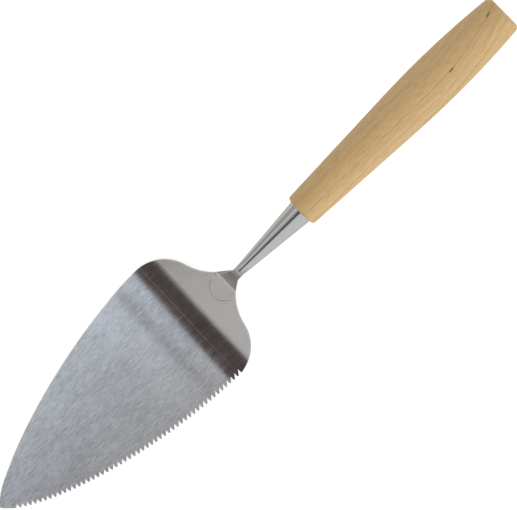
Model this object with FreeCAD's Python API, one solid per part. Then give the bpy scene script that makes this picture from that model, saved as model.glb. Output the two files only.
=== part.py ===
import FreeCAD, Part
import math
import os

from FreeCAD import Placement, Rotation, Vector

# Serrated cake server with a turned wooden handle. Sizes are in millimetres.
# X runs from the blade's tip to the end of the handle, Y across the blade with the teeth on -Y,
# and Z up from the blade's flat underside.

# Blade: one stamped sheet, measured in plan from its tip. The plain side is on +Y
SHEET = 1.2
PLAIN_HALF_WIDTH = 27.85
TOOTHED_HALF_WIDTH = 28.3
PLAIN_CURVE = 1.67
TOOTHED_CURVE = 1.80
PLAIN_FULLNESS = 0.79
TOOTHED_FULLNESS = 0.68
CORNER_RADIUS = 16.0
BACK_RADIUS = 20.8
BACK_PLAIN_REACH = 6.0
BACK_TOOTHED_REACH = 4.6

# Bend behind the flat, and the heel that rises towards the handle
FLAT_LENGTH = 96.0
WIDEST_PAST_FLAT = 4.3
BEND_RADIUS = 24.1
HEEL_ANGLE = 32.0
HEEL_REACH = 26.2

# Serration along one side
TOOTH_PITCH = 2.0
TOOTH_DEPTH = 2.0
TOOTH_GAP = 1.5
TEETH_FROM_TIP = 7.0
TEETH_PAST_WIDEST = 1.6

# Neck: one rolled sheet, with a tongue, a steep step, a pinched stem and a tapered ferrule
NECK_SHEET = 1.2
TONGUE_LENGTH = 7.6
TONGUE_WIDTH = 11.4
TONGUE_NOSE = 6.0
STEP_ANGLE = 60.0
STEP_REACH = 4.6
VALLEY_RADIUS = 4.5
CREST_RADIUS = 0.8
EDGE_BEVEL = 0.28
PLAIN_RUN = 5.0
TOOTHED_RUN = 3.6
FLANGE_WIDTH = 1.2
FLANGE_DROP = 0.5
STEM_TILT = 2.0
STEM_WIDTH = 4.2
STEM_END_WIDTH = 3.8
STEM_DEPTH = 4.2
STEM_LENGTH = 5.0
GUSSET_LEAD = 1.4
FERRULE_LENGTH = 33.9
FERRULE_ROOT_WIDTH = 3.8
FERRULE_WIDTH = 10.2
FERRULE_START = 1.2
SEAM_WIDTH = 0.3
SEAM_START = 7.0

# Handle: turned wood on the neck's axis
HANDLE_TILT = 5.0
HANDLE_LENGTH = 106.8
HANDLE_FRONT_WIDTH = 13.55
HANDLE_BELLY_WIDTH = 19.45
HANDLE_BELLY_AT = 71.2
HANDLE_END_WIDTH = 15.95
SWELL_RADIUS = 400.0
FRONT_ROUNDING = 1.2
END_ROUNDING = 1.8
RIM_FACETS = 2

# Inside the handle and the ferrule
SEAT_DEPTH = 2.0
SEAT_CLEARANCE = 0.1
TANG_WIDTH = 4.5
TANG_IN_HANDLE = 62.0
TANG_IN_NECK = 12.0
TANG_CHAMFER = 0.5
BORE_WIDTH = 7.5
BORE_DEPTH = 66.0
PLUG_LENGTH = 6.0
FIT_CLEARANCE = 0.03

# Cutters that go right through reach this far past what they cut, and bores this far past a face
OVERCUT = 20.0
PAST_FACE = 1.0
FLANK_STATIONS = 9
TOUCH = 1e-3


def rad(degrees):
    return math.radians(degrees)


def line(start, end):
    return Part.LineSegment(start, end).toShape()


def arc(start, middle, end):
    return Part.Arc(start, middle, end).toShape()


def rounded_corner(before, corner, after, radius):
    """The arc that rounds a corner between two straight runs."""
    back = (before - corner).normalize()
    onward = (after - corner).normalize()
    half_inside = back.getAngle(onward) / 2
    trim = radius / math.tan(half_inside)
    inward = (back + onward).normalize() * (radius / math.sin(half_inside) - radius)
    return arc(corner + back * trim, corner + inward, corner + onward * trim)


def around(centre, radius, turn):
    """A point of a circle, from its top clockwise by a turn."""
    return centre + Vector(radius * math.sin(turn), radius * math.cos(turn), 0)


def joined_lines(start, middle_arcs, end):
    """Straight runs that join arcs in order, from a start to an end."""
    edges = []
    at = start
    for curve in middle_arcs:
        edges.append(line(at, curve.firstVertex().Point))
        edges.append(curve)
        at = curve.lastVertex().Point
    edges.append(line(at, end))
    return edges


def mirrored_y(point):
    return Vector(point.x, -point.y, point.z)


def rising(angle):
    """The direction in side view that climbs towards the handle at an angle."""
    return Vector(math.cos(rad(angle)), 0, math.sin(rad(angle)))


def over(angle):
    """The upward normal of a surface that climbs at an angle."""
    return Vector(-math.sin(rad(angle)), 0, math.cos(rad(angle)))


def prism_between(plain_edges, toothed_edges, low, high):
    """A vertical prism between two heights. Both sides are drawn on +Y, the toothed one mirrored."""
    plain = Part.Wire(Part.__sortEdges__(plain_edges))
    toothed = Part.Wire(Part.__sortEdges__(toothed_edges)).mirror(Vector(0, 0, 0), Vector(0, 1, 0))
    rears = [max((vertex.Point for vertex in side.Vertexes), key=lambda point: point.x)
             for side in (plain, toothed)]
    outline = Part.Wire(Part.__sortEdges__(plain.Edges + toothed.Edges + [line(*rears)]))
    face = Part.Face(outline)
    face.translate(Vector(0, 0, low))
    return face.extrude(Vector(0, 0, high - low))


def slab_from_profile(wire, half_width):
    """A solid with a constant side view, centred on the middle plane."""
    face = Part.Face(wire)
    face.translate(Vector(0, -half_width, 0))
    return face.extrude(Vector(0, 2 * half_width, 0))


# Blade outline in plan

def widest_at():
    return FLAT_LENGTH + WIDEST_PAST_FLAT


def flank_edge(half_width, bow, fullness):
    """One side of the blade from the tip to its widest place."""
    points = [Vector(0, 0, 0)]
    for i in range(1, FLANK_STATIONS + 1):
        along = (i / FLANK_STATIONS) ** 2
        reach = half_width * (1 - (1 - along) ** bow) ** fullness
        points.append(Vector(widest_at() * along, reach, 0))
    curve = Part.BSplineCurve()
    curve.interpolate(Points=points, InitialTangent=Vector(0, 1, 0),
                      FinalTangent=Vector(1, 0, 0), Scale=False)
    return curve.toShape()


def heel_end():
    return FLAT_LENGTH + HEEL_REACH


def heel_edges(half_width, back_reach):
    """The rounded corner and the hollow back curve that runs into the neck."""
    corner = Vector(widest_at(), half_width - CORNER_RADIUS, 0)
    rear = Vector(heel_end(), back_reach, 0)
    across = rear - corner
    reach = CORNER_RADIUS + BACK_RADIUS
    near = (reach ** 2 - BACK_RADIUS ** 2 + across.Length ** 2) / (2 * across.Length)
    rise = math.sqrt(reach ** 2 - near ** 2)
    unit = across / across.Length
    hollow = corner + unit * near + Vector(-unit.y, unit.x, 0) * rise
    meet = corner + (hollow - corner) * (CORNER_RADIUS / reach)
    top = corner + Vector(0, CORNER_RADIUS, 0)
    corner_middle = corner + (top + meet - corner * 2).normalize() * CORNER_RADIUS
    back_middle = hollow + (meet + rear - hollow * 2).normalize() * BACK_RADIUS
    return [arc(top, corner_middle, meet), arc(meet, back_middle, rear)]


def plain_side():
    flank = flank_edge(PLAIN_HALF_WIDTH, PLAIN_CURVE, PLAIN_FULLNESS)
    return [flank] + heel_edges(PLAIN_HALF_WIDTH, BACK_PLAIN_REACH)


def toothed_side():
    flank = flank_edge(TOOTHED_HALF_WIDTH, TOOTHED_CURVE, TOOTHED_FULLNESS)
    return [flank] + heel_edges(TOOTHED_HALF_WIDTH, BACK_TOOTHED_REACH)


# Blade sheet in side view

def bend_point(share):
    """A point of the bend's underside, from 0 where it starts to 1 where the heel starts."""
    outer = BEND_RADIUS + SHEET
    turn = rad(HEEL_ANGLE) * share
    return Vector(FLAT_LENGTH + outer * math.sin(turn), 0, outer * (1 - math.cos(turn)))


def heel_point(along_x, above):
    """A point over the heel's underside at a distance from the tip."""
    start = bend_point(1) + over(HEEL_ANGLE) * above
    climb = rising(HEEL_ANGLE)
    return start + climb * ((along_x - start.x) / climb.x)


def under_surface():
    """The blade's underside as a bent sheet, wider and longer than the outline."""
    front = Vector(-OVERCUT, 0, 0)
    rear = heel_point(heel_end() + OVERCUT, 0)
    bend = arc(bend_point(0), bend_point(0.5), bend_point(1))
    wire = Part.Wire([line(front, bend_point(0)), bend, line(bend_point(1), rear)])
    wire.translate(Vector(0, -2 * TOOTHED_HALF_WIDTH, 0))
    return wire.extrude(Vector(0, 2 * (PLAIN_HALF_WIDTH + TOOTHED_HALF_WIDTH), 0))


def tooth_gap(point, towards_tip):
    """A slanted notch: one wall square to the blade's length, the other sloping to the tip."""
    apex = point + Vector(0, TOOTH_DEPTH, 0)
    mouth = point + towards_tip * TOOTH_GAP
    outside = point - Vector(0, TOOTH_DEPTH / 2, 0)
    beyond = mouth + (mouth - apex) / 2
    face = Part.Face(Part.makePolygon([apex, outside, beyond, apex]))
    face.translate(Vector(0, 0, -SHEET))
    return face.extrude(Vector(0, 0, 3 * SHEET))


def gap_at(edge, length):
    """The notch on an edge of the outline at a length from the edge's start."""
    at = edge.getParameterByLength(length)
    return tooth_gap(mirrored_y(edge.valueAt(at)), mirrored_y(edge.tangentAt(at)) * -1)


def tooth_gaps():
    """Notches one pitch apart along the toothed side, the last one on the rounded corner."""
    flank, corner = toothed_side()[:2]
    along = flank.Length + TEETH_PAST_WIDEST - TOOTH_PITCH
    gaps = [gap_at(corner, TEETH_PAST_WIDEST)]
    while along > TEETH_FROM_TIP:
        gaps.append(gap_at(flank, along))
        along -= TOOTH_PITCH
    return gaps


def blade():
    outline = prism_between(plain_side(), toothed_side(), -OVERCUT, 2 * OVERCUT)
    under = Part.makeShell(under_surface().common(outline).Faces)
    sheet = under.makeOffsetShape(-SHEET, TOUCH, fill=True)
    return sheet.cut(tooth_gaps())


# Neck in side view

def valley():
    """Where the tongue's top and the step's face would meet."""
    return heel_point(heel_end(), SHEET + NECK_SHEET)


def crest():
    """Where the step's face and the stem's top would meet."""
    return valley() + Vector(STEP_REACH, 0, STEP_REACH * math.tan(rad(STEP_ANGLE)))


def sunk_corner(point, angle_in, angle_out):
    """The corner of the same two runs one sheet's thickness lower."""
    half_turn = rad(abs(angle_out - angle_in)) / 2
    bisector = (over(angle_in) + over(angle_out)).normalize()
    return point - bisector * (NECK_SHEET / math.cos(half_turn))


def neck_top_edges():
    """The neck's top line: tongue, valley, step, crest and stem."""
    front = heel_point(heel_end() - TONGUE_LENGTH - PAST_FACE, SHEET + NECK_SHEET)
    rear = crest() + rising(STEM_TILT) * STEM_LENGTH
    in_valley = rounded_corner(front, valley(), crest(), VALLEY_RADIUS)
    on_crest = rounded_corner(valley(), crest(), rear, CREST_RADIUS)
    return joined_lines(front, [in_valley, on_crest], rear)


def neck_profile():
    """The closed side view: the tongue lies on the heel, and the step deepens into the stem."""
    top = neck_top_edges()
    front = top[0].firstVertex().Point
    rear = top[-1].lastVertex().Point
    drop = over(STEM_TILT) * STEM_DEPTH
    tongue_front = front - over(HEEL_ANGLE) * NECK_SHEET
    heel_rear = heel_point(heel_end(), SHEET)
    stem_front = crest() + rising(STEM_TILT) * GUSSET_LEAD - drop
    under = Part.makePolygon([rear, rear - drop, stem_front, heel_rear, tongue_front, front])
    return Part.Wire(top + under.Edges)


def neck_side(reach, run):
    """One side of the neck in plan: round nose, then a diagonal to the narrow stem."""
    centre = Vector(heel_end() - TONGUE_LENGTH + TONGUE_NOSE, 0, 0)
    front = centre - Vector(TONGUE_NOSE, 0, 0)
    widest = centre + Vector(0, TONGUE_WIDTH / 2, 0)
    major, minor = (front, widest) if TONGUE_NOSE > TONGUE_WIDTH / 2 else (widest, front)
    nose = Part.ArcOfEllipse(Part.Ellipse(major, minor, centre), 0, math.pi / 2).toShape()
    root = Vector(heel_end(), reach, 0)
    stem = Vector(heel_end() + run, STEM_WIDTH / 2, 0)
    rear = Vector(heel_end() + STEP_REACH + 2 * STEM_LENGTH, STEM_END_WIDTH / 2, 0)
    return [nose, line(widest, root), line(root, stem), line(stem, rear)]


def top_side_edges(solid):
    """The edges round the neck's top, apart from the one across the stem's end."""
    top = Part.Wire(neck_top_edges())
    found = []
    for edge in solid.Edges:
        middle = edge.valueAt((edge.FirstParameter + edge.LastParameter) / 2)
        flat = Part.Vertex(Vector(middle.x, 0, middle.z))
        if abs(middle.y) > STEM_WIDTH / 4 and top.distToShape(flat)[0] < TOUCH:
            found.append(edge)
    return found


def step_channel():
    """The open underside of the step, one sheet's thickness inside its top and sides."""
    low = Vector(0, 0, -OVERCUT)
    inner_valley = sunk_corner(valley(), HEEL_ANGLE, STEP_ANGLE)
    inner_crest = sunk_corner(crest(), STEP_ANGLE, STEM_TILT)
    profile = Part.makePolygon([inner_valley, inner_crest, inner_crest + low, inner_valley + low,
                                inner_valley])
    start = Vector(heel_end(), BACK_TOOTHED_REACH - NECK_SHEET, 0)
    end = Vector(heel_end() + TOOTHED_RUN, STEM_WIDTH / 2 - NECK_SHEET, 0)
    side = [line(Vector(start.x, 0, 0), start), line(start, end),
            line(end, end + Vector(STEM_LENGTH, 0, 0))]
    return slab_from_profile(profile, OVERCUT).common(prism_between(side, side, -OVERCUT, 2 * OVERCUT))


def flange():
    """The neck's edge beside the step on the plain side, a little below the step's face."""
    slab = slab_from_profile(neck_profile(), OVERCUT)
    slab.translate(Vector(0, 0, -FLANGE_DROP))
    inner = Vector(heel_end(), BACK_PLAIN_REACH - FLANGE_WIDTH - NECK_SHEET, 0)
    outer = Vector(heel_end(), BACK_PLAIN_REACH, 0)
    stem = Vector(heel_end() + PLAIN_RUN, STEM_WIDTH / 2, 0)
    inner_stem = stem - Vector(0, NECK_SHEET, 0)
    face = Part.Face(Part.makePolygon([inner, outer, stem, inner_stem, inner]))
    return slab.common(face.extrude(Vector(0, 0, 2 * OVERCUT)))


def neck_root():
    """Tongue, step and stem, from the side view and the plan."""
    slab = slab_from_profile(neck_profile(), OVERCUT)
    plain = neck_side(BACK_PLAIN_REACH - FLANGE_WIDTH, PLAIN_RUN)
    toothed = neck_side(BACK_TOOTHED_REACH, TOOTHED_RUN)
    solid = slab.common(prism_between(plain, toothed, 0, 3 * OVERCUT))
    bevelled = solid.makeChamfer(EDGE_BEVEL, top_side_edges(solid))
    return bevelled.cut(step_channel()).fuse(flange())


# Turned pieces on the handle's axis, measured from the crest of the step

def on_axis(shape):
    start = crest() - over(HANDLE_TILT) * (STEM_DEPTH / 2)
    placed = shape.copy()
    placed.Placement = Placement(start, Rotation(Vector(0, 1, 0), -HANDLE_TILT))
    return placed


def turned(edges):
    face = Part.Face(Part.Wire(Part.__sortEdges__(edges)))
    return face.revolve(Vector(0, 0, 0), Vector(1, 0, 0), 360)


def turned_polygon(stations):
    """A turned solid from (distance, radius) stations, closed along the axis."""
    points = [Vector(stations[0][0], 0, 0)]
    points += [Vector(at, radius, 0) for at, radius in stations]
    points.append(Vector(stations[-1][0], 0, 0))
    points.append(points[0])
    return turned(Part.makePolygon(points).Edges)


def ferrule_radius(at):
    growth = (FERRULE_WIDTH - FERRULE_ROOT_WIDTH) / 2 / FERRULE_LENGTH
    return FERRULE_ROOT_WIDTH / 2 + growth * at


def mouth_at():
    return FERRULE_LENGTH + SEAT_DEPTH


def ferrule_bore_radius(at):
    return ferrule_radius(at) - NECK_SHEET


def ferrule():
    outer = turned_polygon([(FERRULE_START, ferrule_radius(FERRULE_START)),
                            (mouth_at(), ferrule_radius(mouth_at()))])
    bore = turned_polygon([(SEAM_START, ferrule_bore_radius(SEAM_START)),
                           (mouth_at() + PAST_FACE, ferrule_bore_radius(mouth_at() + PAST_FACE))])
    seam = Part.makeBox(mouth_at(), SEAM_WIDTH, FERRULE_WIDTH,
                        Vector(SEAM_START, -SEAM_WIDTH / 2, -FERRULE_WIDTH))
    return outer, [bore, seam]


def neck():
    cone, hollows = ferrule()
    joined = neck_root().fuse(on_axis(cone)).removeSplitter()
    return joined.cut([on_axis(hollow) for hollow in hollows])


def neck_plug():
    start = mouth_at() - PLUG_LENGTH
    plug = turned_polygon([(start, ferrule_bore_radius(start) - FIT_CLEARANCE),
                           (mouth_at(), ferrule_bore_radius(mouth_at()) - FIT_CLEARANCE)])
    hole = turned_polygon([(start - PAST_FACE, TANG_WIDTH / 2 + FIT_CLEARANCE),
                           (mouth_at() + PAST_FACE, TANG_WIDTH / 2 + FIT_CLEARANCE)])
    return on_axis(plug.cut(hole))


def tang_stations(extra):
    start = mouth_at() - TANG_IN_NECK
    end = mouth_at() + TANG_IN_HANDLE + extra
    radius = TANG_WIDTH / 2 + extra
    return [(start, radius - TANG_CHAMFER), (start + TANG_CHAMFER, radius),
            (end - TANG_CHAMFER, radius), (end, radius - TANG_CHAMFER)]


def tang():
    return on_axis(turned_polygon(tang_stations(0)))


def tang_adhesive():
    outer = BORE_WIDTH / 2 - FIT_CLEARANCE
    filled = turned_polygon([(mouth_at(), outer), (mouth_at() + BORE_DEPTH, outer)])
    return on_axis(filled.cut(turned_polygon(tang_stations(FIT_CLEARANCE))))


def handle_side():
    """The handle's outline from its front: straight taper, swell to the belly, fall to the end."""
    front = Vector(FERRULE_LENGTH, HANDLE_FRONT_WIDTH / 2, 0)
    belly = Vector(FERRULE_LENGTH + HANDLE_BELLY_AT, HANDLE_BELLY_WIDTH / 2, 0)
    end = Vector(FERRULE_LENGTH + HANDLE_LENGTH, HANDLE_END_WIDTH / 2, 0)
    swell = belly - Vector(0, SWELL_RADIUS, 0)
    to_front = front - swell
    tangent_turn = math.acos(SWELL_RADIUS / to_front.Length)
    turn = math.atan2(-to_front.x, to_front.y) - tangent_turn
    fall = end - belly
    fall_radius = (fall.x ** 2 + fall.y ** 2) / (-2 * fall.y)
    fall_centre = belly - Vector(0, fall_radius, 0)
    fall_turn = math.asin(fall.x / fall_radius)
    taper_end = around(swell, SWELL_RADIUS, -turn)
    return [line(front, taper_end),
            arc(taper_end, around(swell, SWELL_RADIUS, -turn / 2), belly),
            arc(belly, around(fall_centre, fall_radius, fall_turn / 2), end)]


def facets(curve):
    """Short straight runs that stand for a rim's rounding."""
    span = curve.LastParameter - curve.FirstParameter
    points = [curve.valueAt(curve.FirstParameter + span * i / RIM_FACETS) for i in range(RIM_FACETS + 1)]
    return [line(points[i], points[i + 1]) for i in range(RIM_FACETS)]


def handle_outline():
    """The closed half outline: front face, front rim, side, end rim, end face and axis."""
    taper, swell, fall = handle_side()
    front = taper.firstVertex().Point
    end = fall.lastVertex().Point
    front_axis = Vector(front.x, 0, 0)
    end_axis = Vector(end.x, 0, 0)
    before_end = end - fall.tangentAt(fall.LastParameter)
    front_rim = rounded_corner(front_axis, front, taper.lastVertex().Point, FRONT_ROUNDING)
    end_rim = rounded_corner(before_end, end, end_axis, END_ROUNDING)
    taper = line(front_rim.lastVertex().Point, taper.lastVertex().Point)
    fall_middle = fall.valueAt((fall.FirstParameter + fall.LastParameter) / 2)
    fall = arc(fall.firstVertex().Point, fall_middle, end_rim.firstVertex().Point)
    faces = [line(front_axis, front_rim.firstVertex().Point),
             line(end_rim.lastVertex().Point, end_axis), line(end_axis, front_axis)]
    return faces + facets(front_rim) + [taper, swell, fall] + facets(end_rim)


def handle():
    front = Vector(FERRULE_LENGTH, 0, 0)
    body = turned(handle_outline())
    seat_radius = ferrule_radius(mouth_at()) + SEAT_CLEARANCE
    seat = turned_polygon([(front.x - PAST_FACE, seat_radius), (mouth_at(), seat_radius)])
    bore = turned_polygon([(front.x, BORE_WIDTH / 2), (mouth_at() + BORE_DEPTH, BORE_WIDTH / 2)])
    return on_axis(body.cut([seat, bore]))


# Writing the pieces with the origin under the middle of the whole object

def main():
    os.makedirs("parts", exist_ok=True)
    makers = (blade, neck, neck_plug, tang, tang_adhesive, handle)
    pieces = {maker.__name__: maker() for maker in makers}
    whole = Part.makeCompound(list(pieces.values())).optimalBoundingBox(False, False)
    to_origin = Vector(-whole.Center.x, -whole.Center.y, -whole.ZMin)
    for name, shape in pieces.items():
        shape.translate(to_origin)
        shape.exportStep(os.path.join("parts", name + ".step"))
        print(name, "valid", shape.isValid(), "solids", len(shape.Solids), "volume", round(shape.Volume))
    print("overall", round(whole.XLength, 2), round(whole.YLength, 2), round(whole.ZLength, 2))


main()
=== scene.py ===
import math

import bpy
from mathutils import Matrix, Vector


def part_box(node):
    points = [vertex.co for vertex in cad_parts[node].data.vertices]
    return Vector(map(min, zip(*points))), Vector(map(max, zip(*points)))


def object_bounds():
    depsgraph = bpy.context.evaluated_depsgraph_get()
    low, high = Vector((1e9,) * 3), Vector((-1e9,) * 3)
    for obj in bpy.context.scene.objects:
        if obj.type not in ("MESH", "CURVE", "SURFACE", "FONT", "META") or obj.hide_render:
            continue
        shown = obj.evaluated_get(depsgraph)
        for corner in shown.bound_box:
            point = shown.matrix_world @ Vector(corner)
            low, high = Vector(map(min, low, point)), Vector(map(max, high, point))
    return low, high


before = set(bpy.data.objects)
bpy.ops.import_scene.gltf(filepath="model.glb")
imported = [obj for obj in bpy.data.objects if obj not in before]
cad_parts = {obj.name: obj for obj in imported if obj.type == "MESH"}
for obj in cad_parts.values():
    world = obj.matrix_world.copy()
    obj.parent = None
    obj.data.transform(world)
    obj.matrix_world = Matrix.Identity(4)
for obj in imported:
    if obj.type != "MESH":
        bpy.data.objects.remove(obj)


def box_lists(box):
    return [list(map(float, corner)) for corner in box]


cad_box = box_lists(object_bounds())

# Camera: straight over the blade, as the photograph was taken
VIEW_HEIGHT = 1.5
VIEW_WIDTH = 0.1975
VIEW_CENTRE_FROM_TIP = 0.138
VIEW_CENTRE_Y = -0.00042
VIEW_TURN = -44.40
SENSOR_WIDTH = 36.0
CLIP_FROM, CLIP_TO = 0.01, 20.0

# Room light: level by the angle across the blade, negative on the side of the teeth
ACROSS_LEVELS = (
    (-90, (0.95, 0.95, 0.95)),
    (-60, (0.95, 0.95, 0.94)),
    (-20, (0.90, 0.92, 0.96)),
    (-8, (0.92, 0.98, 1.08)),
    (-3, (0.74, 0.79, 0.88)),
    (1, (0.58, 0.60, 0.65)),
    (6, (0.97, 0.975, 0.99)),
    (13, (0.66, 0.66, 0.67)),
    (24, (0.56, 0.56, 0.56)),
    (30, (0.60, 0.60, 0.60)),
    (35, (0.98, 0.98, 0.96)),
    (42, (0.98, 0.98, 0.96)),
    (48, (0.56, 0.56, 0.55)),
    (74, (0.50, 0.50, 0.49)),
    (90, (0.50, 0.50, 0.49)),
)
ACROSS_END = 90.0

# Over the blade the room is plain towards the tip and towards the handle
TIP_SIDE_LEVEL = (0.80, 0.785, 0.765)
HANDLE_SIDE_LEVEL = (0.86, 0.86, 0.86)
HANDLE_SIDE_FULL, HANDLE_SIDE_FROM = -40.0, -14.0
MIDDLE_REACH, MIDDLE_SOFTNESS = 60.0, 6.0

# A dark card between them, which the bend mirrors: angles towards the tip and across
DARK_CARD_LEVEL = (0.103, 0.080, 0.078)
CARD_FROM, CARD_FROM_SOFTNESS = 10.2, 3.5
CARD_TO, CARD_TO_SOFTNESS = 56.4, 4.0
CARD_TEETH_SIDE, CARD_PLAIN_SIDE, CARD_SIDE_SOFTNESS = -19.0, 14.0, 4.0
CARD_SLANT = 1.15
CARD_END_SLANT = 1.7

# What the wood and the floor get from the room, the lamp for the shadow, and the floor
ROOM_FILL = (0.70, 0.67, 0.63)
WHITE = (1.0, 1.0, 1.0)
KEY_PLACE = (0.15, -1.5, 1.1)
KEY_AIM = (0.0, 0.0, 0.0)
KEY_SIZE = (1.2, 1.2)
KEY_POWER = 13.0
FLOOR_SIZE = 4.0
FLOOR_GAP = 0.0002
FLOOR_TONE = 0.85
FLOOR_GLOW = 0.55
FLOOR_SHINE = 0.15

# Steel: streaks run along the blade. Stretch by axis, then the share of the coarser ones
BLADE_TONE = (0.52, 0.52, 0.52)
NECK_TONE = (0.522, 0.52, 0.515)
INNER_TONE = (0.42, 0.42, 0.43)
POLISH, INNER_POLISH = 0.17, 0.40
POLISH_SWING = 0.10
BLADE_STREAK, NECK_STREAK, INNER_STREAK = 1.65, 0.12, 0.40
FINE_STREAKS = (330.0, 3100.0, 700.0)
BROAD_STREAKS = (90.0, 420.0, 200.0)
CLOUDS = 55.0
BROAD_SHARE = 0.22
CLOUD_SHARE = 0.14
SCRATCH_HEIGHT = 0.000004

# The brushing is plain to see on the flat and fades out over the bend to this share of it
HEEL_BRUSHED_TO = -0.034
HEEL_CALM_FROM = -0.022
HEEL_STREAK_SHARE = 0.08

# The blade shades as if very slightly hollow across, like a part of a circle of this radius
HOLLOW_RADIUS = 0.48

# The steel's colour holds painted reflections: a lighter painted reflection, a darker painted reflection
# and a fine painted highlight in the bend.
# Each has a place along the blade, a reach and a change of tone, and leans a little across it.
# They are weaker near the teeth
ZONES_FROM, ZONES_FULL = -0.022, -0.010
ZONES_NEAR_TEETH = 0.4
PAINTED_REFLECTION_LIGHT = (-0.0538, 0.012, 0.12)
PAINTED_REFLECTION_DARK = (-0.0446, 0.0042, -0.21)
PAINTED_BEND_HIGHLIGHT = (-0.0324, 0.0005, 0.55)
ZONE_LEAN = 0.023

# Wood. Tones, and for each kind of grain its stretch by axis and where it starts, is full and how strong
HANDLE_TILT = 5.0
WOOD_DEEP = (0.600, 0.412, 0.196)
WOOD_PALE = (0.650, 0.460, 0.234)
WOOD_LINE = (0.400, 0.245, 0.090)
WOOD_FLECK = (0.150, 0.075, 0.018)
BROAD_GRAIN, BROAD_RAMP = (5.0, 300.0, 60.0), (0.35, 0.65)
FIBRES, FIBRE_RAMP = (60.0, 1500.0, 1500.0), (0.50, 0.75, 0.0, 0.30)
PORES, PORE_RAMP = (260.0, 2300.0, 2300.0), (0.42, 0.68, 0.0, 0.42)
GRAIN_HEIGHT, GRAIN_STRENGTH = 0.00003, 0.4
WOOD_POLISH, WOOD_POLISH_SWING = 0.42, 0.15

# The layers wander, and swing over near the handle's end
SWING_FROM = 0.094
SWING = 4.0
WANDER = (22.0, 90.0, 90.0)
LAYER_WANDER = 0.0016

# Growth lines: place across, half width and strength. Flecks: place along, place across, half sizes
GROWTH_LINES = (
    (0.0036, 0.0010, 0.20),
    (-0.0016, 0.0006, 0.42),
    (-0.0058, 0.0006, 0.32),
    (-0.0088, 0.0006, 0.30),
)
FLECKS = (
    (0.1306, -0.0017, 0.0014, 0.00036),
    (0.1066, -0.0018, 0.0015, 0.00034),
)
FLECK_RAMP = (0.55, 1.05, 0.92, 0.0)

# Cured adhesive
ADHESIVE_DEEP = (0.44, 0.33, 0.15)
ADHESIVE_PALE = (0.56, 0.44, 0.22)
ADHESIVE_CLOUDS = 260.0
ADHESIVE_POLISH, ADHESIVE_POLISH_SWING = 0.35, 0.2


# Nodes

class Graph:
    """A short way to add nodes to a material's or a world's tree."""

    def __init__(self, tree):
        self.tree = tree
        self.tree.nodes.clear()

    def add(self, kind, **settings):
        node = self.tree.nodes.new(kind)
        for name, value in settings.items():
            setattr(node, name, value)
        return node

    def feed(self, node, **inputs):
        """Set or link inputs by name, with _ for a space, or by number, as at0, at1 and so on."""
        for name, value in inputs.items():
            numbered = name.startswith("at")
            self.feed_socket(node.inputs[int(name[2:]) if numbered else name.replace("_", " ")], value)

    def feed_socket(self, socket, value):
        if isinstance(value, bpy.types.NodeSocket):
            self.tree.links.new(value, socket)
        else:
            socket.default_value = value

    def math(self, operation, *values):
        node = self.add("ShaderNodeMath", operation=operation)
        for socket, value in zip(node.inputs, values):
            self.feed_socket(socket, value)
        return node.outputs[0]

    def scaled(self, vector, factor):
        node = self.add("ShaderNodeVectorMath", operation="SCALE")
        self.feed(node, at0=vector, Scale=factor)
        return node.outputs["Vector"]

    def ramp(self, value, low, high, at_low=0.0, at_high=1.0, kind="SMOOTHSTEP"):
        """A smooth step from one level to another as the value passes between two places."""
        node = self.add("ShaderNodeMapRange", interpolation_type=kind)
        self.feed(node, Value=value, From_Min=low, From_Max=high, To_Min=at_low, To_Max=at_high)
        return node.outputs["Result"]

    def rise(self, value, place, softness):
        return self.ramp(value, place - softness, place + softness)

    def fall(self, value, place, softness):
        return self.ramp(value, place - softness, place + softness, 1.0, 0.0)

    def hump(self, value, centre, reach):
        """One at the centre, falling smoothly to nothing at the reach on both sides."""
        distance = self.math("ABSOLUTE", self.math("SUBTRACT", value, centre))
        return self.ramp(distance, 0.0, reach, 1.0, 0.0)

    def mix(self, share, first, second):
        """A blend of two colours."""
        node = self.add("ShaderNodeMix", data_type="RGBA")
        self.feed(node, at0=share)
        colours = [socket for socket in node.inputs if socket.type == "RGBA"]
        for socket, value in zip(colours, (first, second)):
            self.feed_socket(socket, (*value, 1.0) if isinstance(value, tuple) else value)
        return next(socket for socket in node.outputs if socket.type == "RGBA")

    def noise(self, coordinates, scale=1.0, detail=2.0, roughness=0.5):
        node = self.add("ShaderNodeTexNoise")
        self.feed(node, Vector=coordinates, Scale=scale, Detail=detail, Roughness=roughness)
        return node.outputs["Fac"]

    def uneven(self, noise):
        """A noise made to swing about nothing."""
        return self.math("SUBTRACT", noise, 0.5)

    def mapped(self, coordinates, stretch=(1.0, 1.0, 1.0), turn=(0.0, 0.0, 0.0)):
        node = self.add("ShaderNodeMapping", vector_type="POINT")
        self.feed(node, Vector=coordinates, Rotation=turn, Scale=stretch)
        return node.outputs["Vector"]

    def combine(self, x, y, z):
        node = self.add("ShaderNodeCombineXYZ")
        self.feed(node, X=x, Y=y, Z=z)
        return node.outputs[0]

    def split(self, vector):
        node = self.add("ShaderNodeSeparateXYZ")
        self.feed(node, Vector=vector)
        return node.outputs

    def place(self):
        return self.add("ShaderNodeTexCoord").outputs["Object"]

    def bump(self, height, distance, strength=1.0):
        node = self.add("ShaderNodeBump")
        self.feed(node, Strength=strength, Distance=distance, Height=height)
        return node.outputs["Normal"]

    def surface(self, shader):
        output = self.add("ShaderNodeOutputMaterial")
        self.tree.links.new(shader.outputs[0], output.inputs["Surface"])


# Materials

def new_material(name):
    material = bpy.data.materials.new(name)
    material.use_nodes = True
    return material, Graph(material.node_tree)


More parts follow.
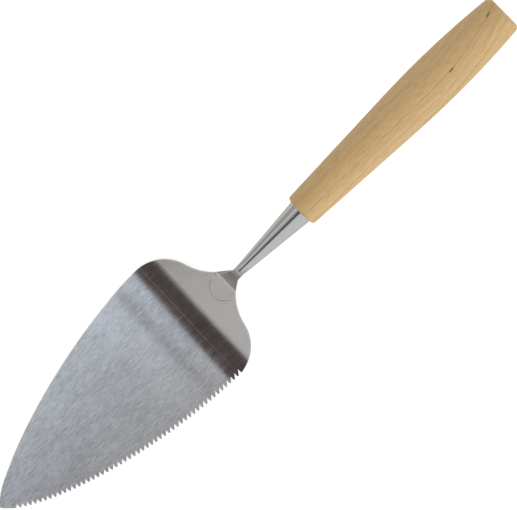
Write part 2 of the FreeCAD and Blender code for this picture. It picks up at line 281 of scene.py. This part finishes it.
def brushed_steel(name, tone, polish, streak, hollow=0.0, heel_share=1.0, painted_reflections=()):
    """Steel with fine streaks along the blade, which keep a share of their strength on the heel."""
    material, graph = new_material(name)
    place = graph.place()
    along, across, _ = graph.split(place)
    fine = graph.noise(graph.mapped(place, FINE_STREAKS), detail=4.0, roughness=0.70)
    broad = graph.noise(graph.mapped(place, BROAD_STREAKS))
    cloud = graph.noise(place, CLOUDS)
    streaks = graph.math("MULTIPLY_ADD", graph.uneven(broad), BROAD_SHARE, graph.uneven(fine))
    streaks = graph.math("MULTIPLY_ADD", graph.uneven(cloud), CLOUD_SHARE, streaks)
    strength = graph.ramp(along, HEEL_BRUSHED_TO, HEEL_CALM_FROM, streak, streak * heel_share)
    level = graph.math("MULTIPLY_ADD", streaks, strength, 1.0)
    inside = graph.ramp(across, ZONES_FROM, ZONES_FULL, ZONES_NEAR_TEETH, 1.0)
    leaning = graph.math("MULTIPLY_ADD", across, -ZONE_LEAN, along)
    # Painted reflections and a painted highlight: bands that lighten or darken the steel's colour
    for place_along, reach, change in painted_reflections:
        painted_reflection_share = graph.math("MULTIPLY", graph.hump(leaning, place_along, reach), inside)
        level = graph.math("MULTIPLY_ADD", painted_reflection_share, change, level)
    dish = graph.math("MULTIPLY", graph.math("MULTIPLY", across, across), hollow)
    height = graph.math("MULTIPLY_ADD", fine, SCRATCH_HEIGHT, dish)
    shader = graph.add("ShaderNodeBsdfPrincipled")
    graph.feed(shader, Base_Color=graph.scaled(tone, level), Metallic=1.0,
               Roughness=graph.math("MULTIPLY_ADD", graph.uneven(broad), POLISH_SWING, polish),
               Normal=graph.bump(height, 1.0))
    graph.surface(shader)
    return material


def adhesive():
    material, graph = new_material("cured_adhesive")
    cloud = graph.noise(graph.place(), ADHESIVE_CLOUDS, 3.0)
    shader = graph.add("ShaderNodeBsdfPrincipled")
    graph.feed(shader, Base_Color=graph.mix(cloud, ADHESIVE_DEEP, ADHESIVE_PALE),
               Roughness=graph.math("MULTIPLY_ADD", cloud, ADHESIVE_POLISH_SWING, ADHESIVE_POLISH))
    graph.surface(shader)
    return material


def maple():
    """Pale turned wood: growth lines that swing over near the end, fine fibres and a few dark flecks."""
    material, graph = new_material("pale_maple")
    straight = graph.mapped(graph.place(), turn=(0.0, math.radians(HANDLE_TILT), 0.0))
    along, across, up = graph.split(straight)
    past = graph.math("MAXIMUM", graph.math("SUBTRACT", along, SWING_FROM), 0.0)
    swing = graph.math("MULTIPLY", graph.math("MULTIPLY", past, past), -SWING)
    wander = graph.uneven(graph.noise(graph.mapped(straight, WANDER)))
    layer = graph.math("MULTIPLY_ADD", wander, LAYER_WANDER, graph.math("ADD", across, swing))
    place = graph.combine(along, layer, up)
    broad = graph.noise(graph.mapped(place, BROAD_GRAIN))
    fibres = graph.noise(graph.mapped(place, FIBRES), detail=3.0, roughness=0.6)
    pores = graph.noise(graph.mapped(place, PORES), detail=3.0, roughness=0.6)
    tone = graph.mix(graph.ramp(broad, *BROAD_RAMP), WOOD_DEEP, WOOD_PALE)
    tone = graph.mix(graph.ramp(fibres, *FIBRE_RAMP), tone, WOOD_LINE)
    tone = graph.mix(graph.ramp(pores, *PORE_RAMP), tone, WOOD_LINE)
    for at, reach, share in GROWTH_LINES:
        line = graph.math("MULTIPLY", graph.hump(layer, at, reach), share)
        tone = graph.mix(line, tone, WOOD_LINE)
    for fleck in FLECKS:
        spot = graph.ramp(fleck_distance(graph, along, layer, fleck), *FLECK_RAMP)
        tone = graph.mix(spot, tone, WOOD_FLECK)
    shader = graph.add("ShaderNodeBsdfPrincipled")
    graph.feed(shader, Base_Color=tone,
               Roughness=graph.math("MULTIPLY_ADD", pores, WOOD_POLISH_SWING, WOOD_POLISH),
               Normal=graph.bump(graph.math("ADD", fibres, pores), GRAIN_HEIGHT, GRAIN_STRENGTH))
    graph.surface(shader)
    return material


def fleck_distance(graph, along, layer, fleck):
    """Distance from a fleck's middle, as a share of its half length and half width."""
    at_along, at_across, half_length, half_width = fleck
    end = graph.math("DIVIDE", graph.math("SUBTRACT", along, at_along), half_length)
    side = graph.math("DIVIDE", graph.math("SUBTRACT", layer, at_across), half_width)
    squares = graph.math("ADD", graph.math("MULTIPLY", end, end), graph.math("MULTIPLY", side, side))
    return graph.math("SQRT", squares)


def dress(nodes, material):
    for name in nodes:
        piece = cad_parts[name]
        piece.data.materials.clear()
        piece.data.materials.append(material)


# Floor

def floor():
    half = FLOOR_SIZE / 2
    mesh = bpy.data.meshes.new("floor")
    corners = [(-half, -half, 0.0), (half, -half, 0.0), (half, half, 0.0), (-half, half, 0.0)]
    mesh.from_pydata(corners, [], [(0, 1, 2, 3)])
    piece = bpy.data.objects.new("floor", mesh)
    bpy.context.scene.collection.objects.link(piece)
    piece.location.z = cad_box[0][2] - FLOOR_GAP
    mesh.materials.append(floor_white())


def floor_white():
    """A pale floor that glows a little, so that the camera sees white and still a shadow."""
    material, graph = new_material("floor_white")
    diffuse = graph.add("ShaderNodeBsdfDiffuse")
    graph.feed(diffuse, Color=(FLOOR_TONE, FLOOR_TONE, FLOOR_TONE, 1.0))
    rays = graph.add("ShaderNodeLightPath")
    mirrored = graph.math("MAXIMUM", rays.outputs["Is Glossy Ray"], rays.outputs["Is Transmission Ray"])
    seen = graph.math("MULTIPLY", rays.outputs["Is Camera Ray"], FLOOR_GLOW)
    glow = graph.add("ShaderNodeEmission")
    graph.feed(glow, Strength=graph.math("MULTIPLY_ADD", mirrored, FLOOR_SHINE, seen))
    both = graph.add("ShaderNodeAddShader")
    graph.feed(both, at0=diffuse.outputs[0], at1=glow.outputs[0])
    graph.surface(both)
    return material


# Room light, from the direction alone

def room():
    world = bpy.data.worlds.new("studio")
    bpy.context.scene.world = world
    world.use_nodes = True
    graph = Graph(world.node_tree)
    direction = graph.add("ShaderNodeTexCoord").outputs["Generated"]
    x, y, z = graph.split(direction)
    degrees = math.degrees(1.0)
    to_tip = graph.math("MULTIPLY", graph.math("ARCTAN2", graph.math("MULTIPLY", x, -1.0), z), degrees)
    across = graph.math("MULTIPLY", graph.math("ARCSINE", y), degrees)
    level = plain_ends(graph, to_tip, across, levels_across(graph, across))
    level = graph.mix(dark_card(graph, to_tip, across), level, DARK_CARD_LEVEL)
    rays = graph.add("ShaderNodeLightPath")
    level = graph.mix(rays.outputs["Is Glossy Ray"], ROOM_FILL, level)
    level = graph.mix(rays.outputs["Is Camera Ray"], level, WHITE)
    back = graph.add("ShaderNodeBackground")
    graph.feed(back, Color=level, Strength=1.0)
    output = graph.add("ShaderNodeOutputWorld")
    graph.tree.links.new(back.outputs[0], output.inputs["Surface"])


def levels_across(graph, across):
    levels = graph.add("ShaderNodeValToRGB")
    graph.feed(levels, at0=graph.ramp(across, -ACROSS_END, ACROSS_END, kind="LINEAR"))
    stops = levels.color_ramp.elements
    while len(stops) < len(ACROSS_LEVELS):
        stops.new(0.5)
    for stop, (angle, colour) in zip(stops, ACROSS_LEVELS):
        stop.position = (angle + ACROSS_END) / (2 * ACROSS_END)
        stop.color = (*colour, 1.0)
    return levels.outputs["Color"]


def plain_ends(graph, to_tip, across, level):
    """The plain levels past the card's far edge and on the handle's side, over the middle alone."""
    middle = graph.fall(graph.math("ABSOLUTE", across), MIDDLE_REACH, MIDDLE_SOFTNESS)
    ahead = graph.math("MULTIPLY", graph.rise(to_tip, CARD_TO, MIDDLE_SOFTNESS), middle)
    handle_side = graph.ramp(to_tip, HANDLE_SIDE_FULL, HANDLE_SIDE_FROM, 1.0, 0.0)
    behind = graph.math("MULTIPLY", handle_side, middle)
    level = graph.mix(ahead, level, TIP_SIDE_LEVEL)
    return graph.mix(behind, level, HANDLE_SIDE_LEVEL)


def dark_card(graph, to_tip, across):
    """The card's share by direction. Its near edge slants, and so does its far edge on the teeth's side."""
    near = graph.math("MULTIPLY_ADD", across, CARD_SLANT, to_tip)
    far = graph.math("MULTIPLY_ADD", graph.math("MINIMUM", across, 0.0), CARD_END_SLANT, to_tip)
    length = graph.math("MULTIPLY", graph.rise(near, CARD_FROM, CARD_FROM_SOFTNESS),
                        graph.fall(far, CARD_TO, CARD_TO_SOFTNESS))
    width = graph.math("MULTIPLY", graph.rise(across, CARD_TEETH_SIDE, CARD_SIDE_SOFTNESS),
                       graph.fall(across, CARD_PLAIN_SIDE, CARD_SIDE_SOFTNESS))
    return graph.math("MULTIPLY", length, width)


def lamp(name, place, aim, size, power):
    data = bpy.data.lights.new(name, "AREA")
    data.shape = "RECTANGLE"
    data.size, data.size_y = size
    data.energy = power
    piece = bpy.data.objects.new(name, data)
    bpy.context.scene.collection.objects.link(piece)
    piece.location = place
    piece.rotation_euler = (Vector(aim) - Vector(place)).to_track_quat("-Z", "Y").to_euler()
    piece.visible_camera = False
    piece.visible_glossy = False


def camera():
    tip_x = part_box("blade")[0][0]
    data = bpy.data.cameras.new("camera")
    data.sensor_width = SENSOR_WIDTH
    data.sensor_fit = "HORIZONTAL"
    data.lens = SENSOR_WIDTH * VIEW_HEIGHT / VIEW_WIDTH
    data.clip_start = CLIP_FROM
    data.clip_end = CLIP_TO
    piece = bpy.data.objects.new("camera", data)
    bpy.context.scene.collection.objects.link(piece)
    piece.location = (tip_x + VIEW_CENTRE_FROM_TIP, VIEW_CENTRE_Y, VIEW_HEIGHT)
    piece.rotation_euler = (0.0, 0.0, math.radians(VIEW_TURN))
    bpy.context.scene.camera = piece


# The scene

# The blade's steel carries the painted reflections and the painted highlight in the bend
blade_steel = brushed_steel("blade_steel", BLADE_TONE, POLISH, BLADE_STREAK, 0.5 / HOLLOW_RADIUS,
                            HEEL_STREAK_SHARE, (PAINTED_REFLECTION_LIGHT, PAINTED_REFLECTION_DARK, PAINTED_BEND_HIGHLIGHT))
dress(["blade"], blade_steel)
dress(["neck"], brushed_steel("neck_steel", NECK_TONE, POLISH, NECK_STREAK))
dress(["neck_plug", "tang"], brushed_steel("inner_steel", INNER_TONE, INNER_POLISH, INNER_STREAK))
dress(["tang_adhesive"], adhesive())
dress(["handle"], maple())
floor()
room()
lamp("key", KEY_PLACE, KEY_AIM, KEY_SIZE, KEY_POWER)
camera()
bpy.context.scene.view_settings.view_transform = "Standard"
